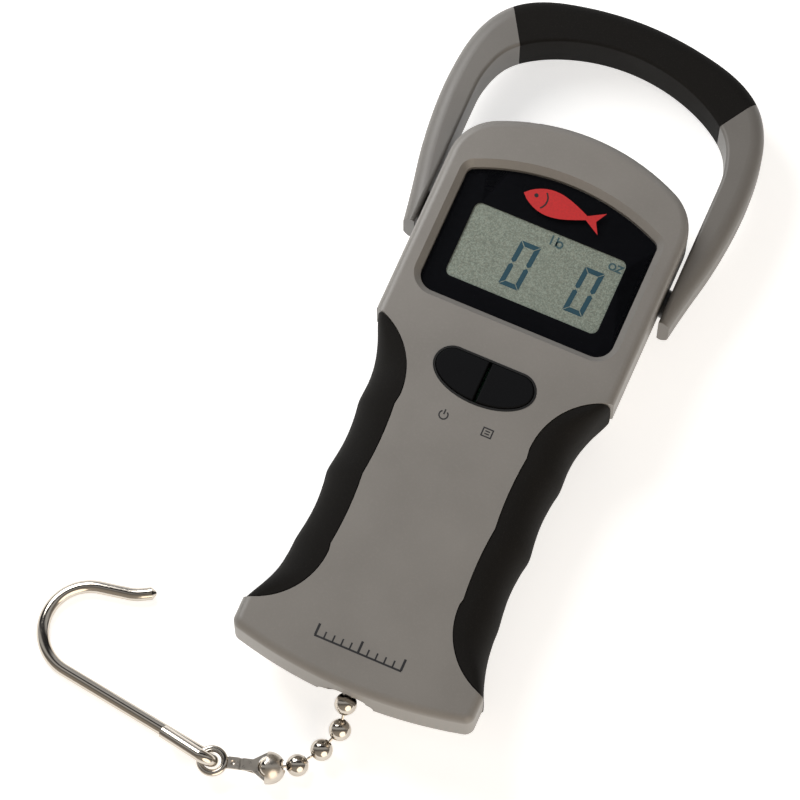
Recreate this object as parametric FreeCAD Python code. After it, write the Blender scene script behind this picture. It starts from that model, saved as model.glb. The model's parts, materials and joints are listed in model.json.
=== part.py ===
"""Digital fish scale: a hand-held hanging scale with a swinging bail, a ball chain and a wire hook.

Millimetres. The scale lies on its back: +Z points up out of the display, +Y towards the bail,
and the origin is on the back face, on the centre line, near the middle of the grip.
Every function below makes one node or one group of like nodes, and the last lines write them.
"""
import FreeCAD, Part
import math
import os

V = FreeCAD.Vector
X_AXIS = V(1, 0, 0)
Y_AXIS = V(0, 1, 0)
Z_AXIS = V(0, 0, 1)

# ---- driving dimensions -----------------------------------------------------------------
CASE_DEPTH = 28.0          # back face to front face
PARTING_Z = 14.0           # where the two covers meet
CASE_HALF_WIDTH = 36.0
CASE_TOP_Y = 93.5
CASE_BOTTOM_Y = -81.5
CROWN_R = 64.0             # top arc of the head
SHOULDER_R = 15.0
FOOT_ARC_R = 142.0
FOOT_CORNER_R = 3.0
WALL = 2.3
FRONT_EDGE_R = 2.5
SEAM_STEP = 0.35           # the back cover starts this much inside the front one
BACK_DRAFT = 0.55          # how far the back cover's sides lean in for each millimetre of depth
BACK_EDGE_R = 4.5

GRIP_ARC_R = 22.0          # corner arcs of the rubber panels
GRIP_ARC_X = 41.5
GRIP_TOP_Y = 1.4           # height of the upper arc's centre
GRIP_BOTTOM_Y = -47.5      # height of the lower arc's centre
GRIP_KINK_X = 19.9         # where the finger ridges meet the inner edge
GRIP_HOLLOW_X = 19.3
RIDGE_YS = (-1.5, -23.5, -45.5)
RIDGE_HALF_WIDTH = 30.9
SCALLOP_DEPTH = 1.1
GRIP_FLARE = 5.2
GRIP_FLARE_FROM = (1.0, -46.0)   # the rubber widens above the first height and below the second
GRIP_FLARE_RUN = 22.5
GRIP_ROUND_X = 11.3        # how far the rubber rolls over, side to front, along the waist
GRIP_END_ROUND_X = 5.0     # the same at both ends, where it meets the casing's corners
GRIP_ROUND_POWER = 0.8     # 1 is an ellipse, less is squarer
GRIP_END_ROUND_POWER = 0.45
GRIP_END_Y = (22.0, -68.0)
GRIP_END_RUN = 15.0        # the section changes over this length at each end
GRIP_SKIN_TOP_Y = 25.4
GRIP_ROWS = 36             # sections that the skin runs through
GRIP_ROW_STEP = 2.75
GRIP_FIT = 0.3             # gap between the rubber's inner edge and the casing
CORE_HALF_WIDTH = 27.0     # plastic under the rubber
CORE_SKIN = 2.6
CORE_CHAMFER = 2.5         # keeps the core inside the rolled rubber
CORE_Y = (-66.0, 20.0)
HEAD_INSIDE_Y = 26.0       # the head's hollow starts at this height
LENS_PLAY = 0.15           # between the lens and its seat
LENS_FRAME = (1.8, 22.3)   # width and lowest height of the frame under the lens
DISPLAY_ROOM = (27.6, (36.0, 68.0), 22.0)   # half-width, heights and floor of the display's well
PIVOT_BLOCK_X = 31.3
PIVOT_BLOCK_HALF = 5.0
BOSS_R = 3.0
PILOT_R = 1.0              # screw hole in the front cover
SCREW_CLEARANCE_R = 1.3
SCREW_SHANK_R = 0.95
SCREW_HEAD_R = 2.4
SCREW_SINK_R = 2.6
SEAL_INSET = (1.0, 1.9)
SEAL_DEPTH = 0.7

LENS_HALF_WIDTH = 29.0
LENS_BOTTOM_Y = 33.7
LENS_TOP_Y = 78.0
LENS_TOP_R = 66.0
LENS_TOP_CORNER_R = 2.5
LENS_BOTTOM_CORNER_R = 5.0
LENS_FACE_Z = 26.0
LENS_THICKNESS = 1.5
MASK_THICKNESS = 0.2
RECESS_SLOPE = 2.0
WINDOW_HALF_WIDTH = 23.1
WINDOW_Y = (40.2, 63.7)
WINDOW_CORNER_R = 2.0

KEYPAD_HALF_WIDTH = 15.3
KEYPAD_TOP_Y = 20.9
KEYPAD_WIDEST_Y = 15.4
KEYPAD_LOW = 8.5           # depth of the half ellipse below the widest line
KEY_GAP = 0.5              # half of the slit between the two keys
KEY_TRAVEL = 0.8
KEY_PROUD = 0.7

BOARD_Z = (19.4, 21.0)
CELL_R = 7.1               # AA cell
CELL_LENGTH = 49.0
CELL_X = 7.5
CELL_Z = 9.9
BAY_HALF_WIDTH = 15.6
BAY_Y = (26.0, 82.0)
BAY_TOP_Z = 17.6
TRAY_WALL = 1.4            # round the battery bay
TRAY_ROOF = 1.2
DOOR_THICKNESS = 1.7
DOOR_HALF_WIDTH = 16.2
DOOR_TONGUE = 0.9          # side tongues that hold the door in its track
DOOR_TONGUE_Z = 0.8

PIVOT_Y = 60.0
PIVOT_Z = 14.0
PIVOT_R = 2.0
PIVOT_PLAY = 0.06          # radial running clearance in the bail legs
BAIL_INNER_X = 37.4
BAIL_HALF_DEPTH = 8.0
BAIL_OUTER_EDGE_R = 4.2
BAIL_INNER_EDGE_R = 1.0

SLOT_HALF_WIDTH = 5.9      # chain outlet in the foot
SLOT_HALF_HEIGHT = 4.4
SCOOP_HALF_WIDTH = 8.6     # shallow hollow round the outlet
SCOOP_HALF_HEIGHT = 7.0
SCOOP_DEPTH = 2.0

BEAD_R = 3.18              # 6.35 mm ball chain
BEAD_WALL = 0.43
BEAD_HOLE_R = 1.1
CHAIN_PITCH = 8.0
LINK_HEAD_R = 1.3
LINK_HEAD_OFFSET = 1.5     # link head centre from bead centre
LINK_ROD_R = 0.42
CHAIN_START = V(0.0, -74.5, 14.0)
# heading from -Y towards -X, and angle below the horizontal, of each link
CHAIN_TURNS = ((-5.0, 0.0), (-9.0, 38.0), (24.0, 30.0), (36.0, 13.3), (58.0, -11.2))

CUP_R = 4.6                # bell-shaped cup over the chain's last bead
CUP_WALL = 0.45
CUP_RIM = 0.8              # how far the cup's open rim is past the bead's centre
EYELET_CENTRE = V(-27.6, -110.0, 5.15)
EYELET_R = 3.5             # to the middle of the rolled rim
EYELET_WIRE_R = 0.98
EYELET_HALF_HEIGHT = 0.95
EYELET_LIP_R = 2.9         # thin raised lip round the hole
EYELET_LIP_WIRE_R = 0.33
EYELET_LIP_RISE = 0.75
STRAP_HALF_WIDTH = 1.65
STRAP_THICKNESS = 0.6
STRAP_GAP = (7.4, 8.3)     # break in the strap's upper layer, from the cup centre
TONGUE_END = 6.6           # where the tongue under the bead reaches the strap

WIRE_R = 1.85              # hook wire
HOOK_HEADING = math.radians(7.9)
EYE_LEAN = 0.32            # the eye leans this much across the shank for each millimetre of height
EYE_R = 3.3                # bend of the eye round the eyelet's rim
TAIL_END = 16.0            # where the eye's tail comes back to the shank
BOW_CENTRE = 49.3          # from the eyelet, along the shank
BOW_R = 13.05
BOW_END_ANGLE = math.radians(71.0)
POINT_RUN = 8.0
POINT_ARC_R = 12.0
POINT_TURN = math.radians(18.0)
POINT_END = 2.9
POINT_CONE = 1.3
POINT_TIP_R = 0.6


# ---- small helpers ----------------------------------------------------------------------
def line(p, q):
    return Part.makeLine(p, q)


def arc(centre, radius, start, end):
    """An arc in the XY plane about centre, between two angles in radians."""
    points = []
    for angle in (start, (start + end) / 2, end):
        points.append(centre + V(math.cos(angle), math.sin(angle), 0) * radius)
    return Part.Arc(*points).toShape()


def face_at(edges, z=0.0):
    wire = Part.Wire(Part.__sortEdges__(edges))
    wire.translate(V(0, 0, z))
    return Part.Face(wire)


def prism(edges, low, high):
    return face_at(edges, low).extrude(V(0, 0, high - low))


def box(x_range, y_range, z_range):
    size = [high - low for low, high in (x_range, y_range, z_range)]
    return Part.makeBox(size[0], size[1], size[2], V(x_range[0], y_range[0], z_range[0]))


def wide_box(half_width, y_range, z_range):
    return box((-half_width, half_width), y_range, z_range)


def rod(radius, start, end):
    return Part.makeCylinder(radius, (end - start).Length, start, end - start)


def mirrored(shape):
    return shape.mirror(V(0, 0, 0), X_AXIS)


def both_sides(shape):
    return shape.fuse(mirrored(shape))


def tapered(low_edges, low_z, high_edges, high_z):
    """A solid between two closed outlines, with straight sides."""
    wires = [face_at(low_edges, low_z).OuterWire, face_at(high_edges, high_z).OuterWire]
    return Part.makeLoft(wires, True, True)


def loop_at(shape, z):
    """The edges of a shape that lie in one level plane."""
    found = []
    for edge in shape.Edges:
        bounds = edge.BoundBox
        if abs(bounds.ZMin - z) < 1e-4 and abs(bounds.ZMax - z) < 1e-4:
            found.append(edge)
    return found


# ---- outlines ---------------------------------------------------------------------------
def corner_on_arc(big_centre, big_r, side_x, corner_r, upward):
    """Centre of a corner arc that touches a vertical side and lies inside a big arc."""
    reach = math.sqrt((big_r - corner_r) ** 2 - (side_x - corner_r) ** 2)
    return V(side_x - corner_r, big_centre.y + (reach if upward else -reach), 0)


def case_outline(inset):
    """Head, straight sides and foot, without the waist that the rubber panels fill."""
    side = CASE_HALF_WIDTH - inset
    crown_centre = V(0, CASE_TOP_Y - CROWN_R, 0)
    crown_r = CROWN_R - inset
    sine = (CASE_HALF_WIDTH - SHOULDER_R) / (CROWN_R - SHOULDER_R)
    lean = math.asin(sine)
    shoulder_centre = crown_centre + V(sine, math.cos(lean), 0) * (CROWN_R - SHOULDER_R)
    shoulder_r = SHOULDER_R - inset
    foot_centre = V(0, CASE_BOTTOM_Y + FOOT_ARC_R, 0)
    foot_r = FOOT_ARC_R - inset
    corner_centre = corner_on_arc(foot_centre, foot_r, side, FOOT_CORNER_R, False)
    down = math.atan2(corner_centre.y - foot_centre.y, corner_centre.x)
    right = [
        arc(shoulder_centre, shoulder_r, 0, math.pi / 2 - lean),
        line(V(side, corner_centre.y, 0), V(side, shoulder_centre.y, 0)),
        arc(corner_centre, FOOT_CORNER_R, down, 0),
    ]
    edges = right + [mirrored(edge) for edge in right]
    edges.append(arc(crown_centre, crown_r, math.pi / 2 - lean, math.pi / 2 + lean))
    edges.append(arc(foot_centre, foot_r, down, -math.pi - down))
    return edges


def lens_outline(grow):
    """The arched display lens, grown outwards by grow."""
    side = LENS_HALF_WIDTH + grow
    bottom = LENS_BOTTOM_Y - grow
    low_r = LENS_BOTTOM_CORNER_R + grow
    top_r = LENS_TOP_R + grow
    high_r = LENS_TOP_CORNER_R + grow
    arch_centre = V(0, LENS_TOP_Y - LENS_TOP_R, 0)
    high_centre = corner_on_arc(arch_centre, top_r, side, high_r, True)
    lean = math.atan2(high_centre.y - arch_centre.y, high_centre.x)
    low_centre = V(side - low_r, bottom + low_r, 0)
    right = [
        arc(high_centre, high_r, 0, lean),
        line(V(side, low_centre.y, 0), V(side, high_centre.y, 0)),
        arc(low_centre, low_r, -math.pi / 2, 0),
    ]
    edges = right + [mirrored(edge) for edge in right]
    edges.append(arc(arch_centre, top_r, lean, math.pi - lean))
    edges.append(line(V(-low_centre.x, bottom, 0), V(low_centre.x, bottom, 0)))
    return edges


def keypad_outline(grow):
    """Straight top, rounded ends and a half-ellipse below, grown outwards by grow."""
    side = KEYPAD_HALF_WIDTH + grow
    top = KEYPAD_TOP_Y + grow
    corner_r = top - KEYPAD_WIDEST_Y
    corner = V(side - corner_r, KEYPAD_WIDEST_Y, 0)
    ellipse = Part.Ellipse(V(0, KEYPAD_WIDEST_Y, 0), side, KEYPAD_LOW + grow)
    return [
        line(V(-corner.x, top, 0), V(corner.x, top, 0)),
        arc(corner, corner_r, math.pi / 2, 0),
        Part.ArcOfEllipse(ellipse, math.pi, 2 * math.pi).toShape(),
        arc(V(-corner.x, corner.y, 0), corner_r, math.pi / 2, math.pi),
    ]


def grip_zone(margin):
    """Plan of the right rubber panel's bay: two corner arcs joined by a scalloped inner edge."""
    high = V(GRIP_ARC_X, GRIP_TOP_Y, 0)
    low = V(GRIP_ARC_X, GRIP_BOTTOM_Y, 0)
    radius = GRIP_ARC_R - margin
    inner = GRIP_ARC_X - radius
    stops = [V(inner, GRIP_TOP_Y, 0)]
    for ridge in RIDGE_YS:
        stops.append(V(GRIP_KINK_X + margin, ridge, 0))
    stops.append(V(inner, GRIP_BOTTOM_Y, 0))
    edges = [arc(high, radius, math.pi / 2, math.pi), arc(low, radius, math.pi, 1.5 * math.pi)]
    for index, (start, end) in enumerate(zip(stops, stops[1:])):
        if index in (0, len(stops) - 2):
            edges.append(line(start, end))
            continue
        middle = V(GRIP_HOLLOW_X + margin, (start.y + end.y) / 2, 0)
        edges.append(Part.Arc(start, middle, end).toShape())
    beyond = CASE_HALF_WIDTH + 14
    top = high + V(0, radius, 0)
    bottom = low - V(0, radius, 0)
    edges.append(line(top, V(beyond, top.y, 0)))
    edges.append(line(V(beyond, top.y, 0), V(beyond, bottom.y, 0)))
    edges.append(line(V(beyond, bottom.y, 0), bottom))
    return edges


# ---- casing -----------------------------------------------------------------------------
def case_front():
    blank = prism(case_outline(0), PARTING_Z, CASE_DEPTH)
    return blank.makeFillet(FRONT_EDGE_R, loop_at(blank, CASE_DEPTH))


def back_inset(z):
    return SEAM_STEP + BACK_DRAFT * (PARTING_Z - z)


def case_back():
    blank = tapered(case_outline(back_inset(0)), 0, case_outline(back_inset(PARTING_Z)), PARTING_Z)
    return blank.makeFillet(BACK_EDGE_R, loop_at(blank, 0))


def core():
    """The plastic that runs down the waist under both rubber panels."""
    block = wide_box(CORE_HALF_WIDTH, CORE_Y, (CORE_SKIN, CASE_DEPTH - CORE_SKIN))
    long_edges = [edge for edge in block.Edges if edge.BoundBox.YLength > 1]
    return block.makeChamfer(CORE_CHAMFER, long_edges)


def grip_bays(margin=0.0):
    return both_sides(prism(grip_zone(margin), -1, CASE_DEPTH + 1))


SCREW_SITES = ((23.5, 77.0), (15.5, -2.5), (19.0, -71.0))
BRACKET_Y = (-14.0, -10.5)
OUTLET_Y = (-83.0, -72.0)


def waist_hollow():
    wide = wide_box(24.4, (-66, 26), (5.0, 23.0))
    strip = wide_box(16.9, (-66, 26), (WALL, CASE_DEPTH - WALL))
    return wide.fuse(strip)


def foot_hollow(outline_prism):
    return outline_prism.common(wide_box(27.5, (CASE_BOTTOM_Y, -65.9), (4.0, 24.0)))


def bosses(low, high, radius):
    made = []
    for x, y in SCREW_SITES:
        for side in (-1, 1):
            made.append(rod(radius, V(side * x, y, low), V(side * x, y, high)))
    return made


def bracket_ribs(low, high):
    """Pairs of ribs that trap the load-cell bracket."""
    made = []
    for y in (BRACKET_Y[0] - 1.7, BRACKET_Y[1] + 0.1):
        for side in (-1, 1):
            xs = sorted((side * 19.5, side * 24.4))
            made.append(box(xs, (y, y + 1.6), (low, high)))
    return made


def chain_outlet():
    """Rounded slot in the foot wall, with a shallow scoop round it."""
    slot = box((-SLOT_HALF_WIDTH + 3, SLOT_HALF_WIDTH - 3), OUTLET_Y,
               (PARTING_Z - SLOT_HALF_HEIGHT, PARTING_Z + SLOT_HALF_HEIGHT))
    ends = [rod(SLOT_HALF_HEIGHT, V(x, OUTLET_Y[0], PARTING_Z), V(x, OUTLET_Y[1], PARTING_Z))
            for x in (SLOT_HALF_HEIGHT - SLOT_HALF_WIDTH, SLOT_HALF_WIDTH - SLOT_HALF_HEIGHT)]
    scoop = Part.makeSphere(1.0)
    stretch = FreeCAD.Matrix()
    stretch.scale(V(SCOOP_HALF_WIDTH, SCOOP_DEPTH, SCOOP_HALF_HEIGHT))
    scoop = scoop.transformGeometry(stretch)
    scoop.translate(V(0, CASE_BOTTOM_Y - 0.1, PARTING_Z))
    return slot.fuse(ends).fuse(scoop)


def pivot_holes():
    return both_sides(rod(PIVOT_R, V(31, PIVOT_Y, PIVOT_Z), V(40, PIVOT_Y, PIVOT_Z)))


def pivot_blocks(z_range):
    y_range = (PIVOT_Y - PIVOT_BLOCK_HALF, PIVOT_Y + PIVOT_BLOCK_HALF)
    return both_sides(box((PIVOT_BLOCK_X, CASE_HALF_WIDTH - 0.8), y_range, z_range))


def front_cover():
    inside = prism(case_outline(WALL), PARTING_Z - 1, CASE_DEPTH - WALL)
    head = inside.common(wide_box(CASE_HALF_WIDTH, (HEAD_INSIDE_Y, CASE_TOP_Y), (0, CASE_DEPTH)))
    shell = case_front().cut(grip_bays())
    shell = shell.fuse(core().common(wide_box(CASE_HALF_WIDTH, CORE_Y, (PARTING_Z, CASE_DEPTH))))
    shell = shell.cut([head, waist_hollow(), foot_hollow(inside)])
    frame_width, frame_low = LENS_FRAME
    additions = [prism(lens_outline(frame_width), frame_low, CASE_DEPTH - WALL),
                 pivot_blocks((PARTING_Z, 21.0))]
    additions += bosses(PARTING_Z, 24.0, BOSS_R)
    additions += bracket_ribs(PARTING_Z, 23.1)
    shell = shell.fuse(additions)
    lens_seat_z = LENS_FACE_Z - LENS_THICKNESS - MASK_THICKNESS
    recess = tapered(lens_outline(LENS_PLAY), LENS_FACE_Z, lens_outline(RECESS_SLOPE), CASE_DEPTH)
    room_half, room_y, room_low = DISPLAY_ROOM
    openings = [
        recess,
        prism(lens_outline(LENS_PLAY), lens_seat_z, LENS_FACE_Z),
        wide_box(room_half, room_y, (room_low, lens_seat_z)),
        prism(keypad_outline(0), 24.0, CASE_DEPTH + 1),
        chain_outlet(),
        pivot_holes(),
    ]
    openings += bosses(PARTING_Z - 1, 22.0, PILOT_R)
    return shell.cut(openings)


def back_cover():
    inside = tapered(case_outline(back_inset(WALL) + WALL), WALL,
                     case_outline(back_inset(PARTING_Z) + WALL), PARTING_Z)
    head = inside.common(wide_box(CASE_HALF_WIDTH, (HEAD_INSIDE_Y, CASE_TOP_Y), (0, CASE_DEPTH)))
    shell = case_back().cut(grip_bays())
    shell = shell.fuse(core().common(wide_box(CASE_HALF_WIDTH, CORE_Y, (0, PARTING_Z))))
    shell = shell.cut([head, waist_hollow(), foot_hollow(inside)])
    tray_y = (BAY_Y[0] - TRAY_WALL, BAY_Y[1] + TRAY_WALL)
    tray = wide_box(BAY_HALF_WIDTH + TRAY_WALL, tray_y, (1.0, BAY_TOP_Z + TRAY_ROOF))
    shell = shell.fuse([tray, pivot_blocks((7.0, PARTING_Z)).common(case_back())])
    shell = shell.fuse(bosses(2.0, PARTING_Z, BOSS_R) + bracket_ribs(4.9, PARTING_Z))
    openings = [
        wide_box(BAY_HALF_WIDTH, BAY_Y, (-1, BAY_TOP_Z)),
        door_plate(0.2, CASE_TOP_Y),
        chain_outlet(),
        pivot_holes(),
        seal_ring(0.05),
    ]
    openings += bosses(-1, PARTING_Z + 1, SCREW_CLEARANCE_R) + bosses(-1, 3.4, SCREW_SINK_R)
    return shell.cut(openings)


def seal_ring(play):
    """Soft cord in a groove round the head's half of the parting line."""
    outer = prism(case_outline(SEAL_INSET[0] - play), PARTING_Z - SEAL_DEPTH - play, PARTING_Z)
    inner = prism(case_outline(SEAL_INSET[1] + play), PARTING_Z - 1, PARTING_Z + 1)
    ring = outer.cut(inner)
    return ring.common(wide_box(CASE_HALF_WIDTH, (HEAD_INSIDE_Y - play, CASE_TOP_Y), (0, CASE_DEPTH)))


def casing_screws():
    """Cross-headed screws, sunk in the back cover."""
    shanks = bosses(3.2, 19.0, SCREW_SHANK_R)
    heads = bosses(1.2, 3.3, SCREW_HEAD_R)
    long_half, short_half, cross_top = 1.7, 0.4, 2.0
    made = []
    for shank, head in zip(shanks, heads):
        cross = wide_box(short_half, (-long_half, long_half), (0.0, cross_top))
        cross = cross.fuse(wide_box(long_half, (-short_half, short_half), (0.0, cross_top)))
        cross.translate(V(head.CenterOfMass.x, head.CenterOfMass.y, 0))
        made.append(shank.fuse(head).cut(cross))
    return Part.makeCompound(made)


# ---- rubber grips -----------------------------------------------------------------------
def grip_half_width(y):
    """Half-width of the rubber at height y: ridges between finger hollows, flaring at both ends."""
    pitch = RIDGE_YS[0] - RIDGE_YS[1]
    width = RIDGE_HALF_WIDTH
    if y > RIDGE_YS[-1]:
        hollow = SCALLOP_DEPTH * abs(math.sin(math.pi * (y - RIDGE_YS[0]) / pitch))
        width -= hollow / 2 if y > RIDGE_YS[0] else hollow
    beyond = max(y - GRIP_FLARE_FROM[0], GRIP_FLARE_FROM[1] - y, 0)
    return width + GRIP_FLARE * (beyond / GRIP_FLARE_RUN) ** 2


def grip_squareness(y):
    """0 along the waist, rising smoothly to 1 at either end of the rubber."""
    to_end = min(GRIP_END_Y[0] - y, y - GRIP_END_Y[1])
    part = min(max(1 - to_end / GRIP_END_RUN, 0), 1)
    return part * part * (3 - 2 * part)


def grip_skin():
    """Rolled outer surface of the right panel, as one smooth face."""
    rows = []
    for step in range(GRIP_ROWS):
        y = GRIP_SKIN_TOP_Y - step * GRIP_ROW_STEP
        square = grip_squareness(y)
        row = []
        for tick in range(-6, 7):
            angle = math.radians(15 * tick)
            change = square if tick > 0 else 0
            power = GRIP_ROUND_POWER + (GRIP_END_ROUND_POWER - GRIP_ROUND_POWER) * change
            round_x = GRIP_ROUND_X + (GRIP_END_ROUND_X - GRIP_ROUND_X) * change
            side = math.cos(angle) ** power
            up = math.copysign(abs(math.sin(angle)) ** power, angle)
            x = grip_half_width(y) - round_x * (1 - side)
            row.append(V(x, y, PARTING_Z + PARTING_Z * up * 0.999))
        rows.append(row)
    surface = Part.BSplineSurface()
    surface.interpolate(rows)
    return surface.toShape()


def right_grip():
    body = grip_skin().extrude(V(-16, 0, 0))
    panel = body.common(prism(grip_zone(GRIP_FIT), 0.05, CASE_DEPTH - 0.05))
    return panel.cut([core(), case_front().cut(grip_bays()), case_back().cut(grip_bays())])


# ---- display ----------------------------------------------------------------------------
def display_lens():
    lens = prism(lens_outline(0), LENS_FACE_Z - LENS_THICKNESS, LENS_FACE_Z)
    return lens.makeChamfer(0.3, loop_at(lens, LENS_FACE_Z))


def lens_mask():
    z_range = (LENS_FACE_Z - LENS_THICKNESS - MASK_THICKNESS, LENS_FACE_Z - LENS_THICKNESS)
    window = wide_box(WINDOW_HALF_WIDTH, WINDOW_Y, (z_range[0] - 1, z_range[1] + 1))
    corners = [edge for edge in window.Edges if edge.BoundBox.ZLength > 1]
    window = window.makeFillet(WINDOW_CORNER_R, corners)
    return prism(lens_outline(0), *z_range).cut(window)


def lcd_panel():
    """Two glass plates, the lower one standing out at its foot to carry the contacts."""
    upper = wide_box(26.6, (39.2, 67.0), (23.3, 24.1))
    lower = wide_box(26.6, (37.0, 67.0), (22.6, 23.3))
    return upper.fuse(lower)


def backlight_panel():
    return wide_box(25.0, (40.5, 66.0), (21.5, 22.5))


def lcd_frame():
    outer = wide_box(27.3, (36.3, 67.7), (21.05, 22.55))
    return outer.cut(wide_box(25.3, (36.9, 66.3), (20, 23)))


def zebra_strip():
    return wide_box(24.0, (37.3, 39.3), (21.0, 22.6))


# ---- electronics ------------------------------------------------------------------------
BOARD_HOLES = [(side * 29.0, y) for y in (31.0, 70.0) for side in (-1, 1)]
BOARD_HOLE_R = 1.1
BOARD_SCREW_HEAD_R = 1.9


def main_board():
    """Wide behind the display, with a tongue down to the key switches."""
    wide = wide_box(31.0, (27.0, 74.0), BOARD_Z)
    tongue = wide_box(16.5, (3.0, 27.0), BOARD_Z)
    board = wide.fuse(tongue).removeSplitter()
    return board.cut([rod(BOARD_HOLE_R, V(x, y, 19), V(x, y, 22)) for x, y in BOARD_HOLES])


def board_screws():
    made = []
    for x, y in BOARD_HOLES:
        shank = rod(SCREW_SHANK_R, V(x, y, 19.2), V(x, y, 22.2))
        head = rod(BOARD_SCREW_HEAD_R, V(x, y, 18.1), V(x, y, 19.3))
        made.append(shank.fuse(head))
    return Part.makeCompound(made)


KEY_SITES = (-7.6, 7.6)
KEY_STEM_Y = 14.5
SWITCH_HALF = 3.0
SWITCH_TOP_Z = 22.6
SWITCH_BUTTON_Z = 23.1


def key_switches():
    made = []
    for x in KEY_SITES:
        body = box((x - SWITCH_HALF, x + SWITCH_HALF),
                   (KEY_STEM_Y - SWITCH_HALF, KEY_STEM_Y + SWITCH_HALF), (BOARD_Z[1], SWITCH_TOP_Z))
        button = rod(1.5, V(x, KEY_STEM_Y, SWITCH_TOP_Z - 0.1), V(x, KEY_STEM_Y, SWITCH_BUTTON_Z))
        made.append(body.fuse(button))
    return Part.makeCompound(made)


def board_chips():
    """The measuring chip, its converter, a crystal and a row of small parts."""
    chips = [
        box((20.5, 29.5), (44.0, 53.0), (17.9, BOARD_Z[0])),
        box((-27.5, -21.5), (46.0, 51.0), (18.0, BOARD_Z[0])),
        box((22.0, 28.0), (58.0, 60.5), (17.6, BOARD_Z[0])),
    ]
    for index in range(6):
        y = 56.0 + 2.4 * index
        chips.append(box((-26.0, -23.0), (y, y + 1.3), (18.6, BOARD_Z[0])))
    return Part.makeCompound(chips)


def piezo_buzzer():
    centre = V(-9.0, 9.0, 0)
    return rod(5.0, centre + Z_AXIS * 15.5, centre + Z_AXIS * BOARD_Z[0])


# ---- batteries --------------------------------------------------------------------------
CELL_Y0 = BAY_Y[0] + 4.2


def battery(x):
    body = rod(CELL_R, V(x, CELL_Y0, CELL_Z), V(x, CELL_Y0 + CELL_LENGTH, CELL_Z))
    nub_start = V(x, CELL_Y0 + CELL_LENGTH, CELL_Z)
    return body.fuse(rod(2.7, nub_start, nub_start + V(0, 1.2, 0)))


def contact_springs():
    """A conical coil behind the flat end of each cell."""
    coils = []
    for x in (-CELL_X, CELL_X):
        turns = []
        for turn in range(4):
            y = BAY_Y[0] + 1.1 + 0.75 * turn
            turns.append(Part.makeTorus(3.9 - 0.5 * turn, 0.42, V(x, y, CELL_Z), Y_AXIS))
        coil = turns[0]
        for turn in turns[1:]:
            coil = coil.fuse(turn)
        post = box((x - 4.3, x - 1.9), (BAY_Y[0] + 0.7, BAY_Y[0] + 3.5), (CELL_Z - 0.3, CELL_Z + 0.3))
        coils.append(coil.fuse(post))
    return Part.makeCompound(coils)


def contact_plates():
    """Sprung side plates under the coils, and the bridge across the button ends."""
    low = BAY_Y[0] + 0.1
    high = BAY_Y[1] - 0.1
    plates = [box((x - 5.5, x + 5.5), (low, low + 0.5), (4.5, 15.3)) for x in (-CELL_X, CELL_X)]
    plates.append(wide_box(13.0, (high - 0.5, high), (4.5, 15.3)))
    dimples = [rod(2.2, V(x, high - 1.4, CELL_Z), V(x, high - 0.4, CELL_Z)) for x in (-CELL_X, CELL_X)]
    plates[2] = plates[2].fuse(dimples)
    return Part.makeCompound(plates)


def door_plate(play, end_y):
    """The sliding door, or with play added the track it runs in: a plate with side tongues."""
    y_range = (BAY_Y[0] - 1.8 - play, end_y)
    plate = wide_box(DOOR_HALF_WIDTH + play, y_range, (-play, DOOR_THICKNESS + play))
    tongues = wide_box(DOOR_HALF_WIDTH + DOOR_TONGUE + play, y_range,
                       (DOOR_TONGUE_Z - play, DOOR_THICKNESS + play))
    return plate.fuse(tongues)


def battery_door():
    grooves = []
    for step in range(5):
        y = 31.0 + 2.0 * step
        grooves.append(wide_box(7.0, (y, y + 0.8), (-0.5, 0.5)))
    return door_plate(0.0, CASE_TOP_Y).common(case_back()).cut(grooves)


def door_seal():
    z_range = (DOOR_THICKNESS + 0.02, DOOR_THICKNESS + 0.6)
    outer = wide_box(BAY_HALF_WIDTH - 0.2, (BAY_Y[0] + 0.2, BAY_Y[1] - 0.2), z_range)
    return outer.cut(wide_box(BAY_HALF_WIDTH - 1.2, (BAY_Y[0] + 1.2, BAY_Y[1] - 1.2), (0, 5)))


# ---- load cell --------------------------------------------------------------------------
CELL_BLOCK_Y = (-58.0, -14.1)
CELL_BLOCK_Z = (9.5, 18.5)
CELL_BLOCK_HALF = 14.0
WEB_HOLE_R = 3.6           # the two holes that thin the web under the strain gauges
WEB_HOLE_Y = 3.4


def load_cell():
    """S-shaped block: slots from opposite sides, joined to a thinned web at the middle."""
    middle = sum(CELL_BLOCK_Y) / 2
    block = wide_box(CELL_BLOCK_HALF, CELL_BLOCK_Y, CELL_BLOCK_Z)
    through = (0, CASE_DEPTH)
    cuts = [
        box((-CELL_BLOCK_HALF - 1, 8.5), (middle + 8.0, middle + 9.6), through),
        box((-8.5, CELL_BLOCK_HALF + 1), (middle - 9.6, middle - 8.0), through),
        rod(WEB_HOLE_R, V(0, middle - WEB_HOLE_Y, 0), V(0, middle - WEB_HOLE_Y, CASE_DEPTH)),
        rod(WEB_HOLE_R, V(0, middle + WEB_HOLE_Y, 0), V(0, middle + WEB_HOLE_Y, CASE_DEPTH)),
        rod(2.5, V(0, CELL_BLOCK_Y[0] - 1, PARTING_Z), V(0, CELL_BLOCK_Y[0] + 8, PARTING_Z)),
        rod(2.5, V(0, CELL_BLOCK_Y[1] + 1, PARTING_Z), V(0, CELL_BLOCK_Y[1] - 8, PARTING_Z)),
    ]
    return block.cut(cuts)


def strain_gauges():
    middle = sum(CELL_BLOCK_Y) / 2
    top = CELL_BLOCK_Z[1]
    return Part.makeCompound([box((x, x + 4.0), (middle + y, middle + y + 2.6), (top, top + 0.15))
                              for x in (-9.0, 5.0) for y in (-5.0, 2.4)])


def cell_bracket():
    plate = wide_box(23.5, BRACKET_Y, (5.4, 22.6))
    return plate.cut(rod(2.6, V(0, BRACKET_Y[0] - 1, PARTING_Z), V(0, BRACKET_Y[1] + 1, PARTING_Z)))


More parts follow.
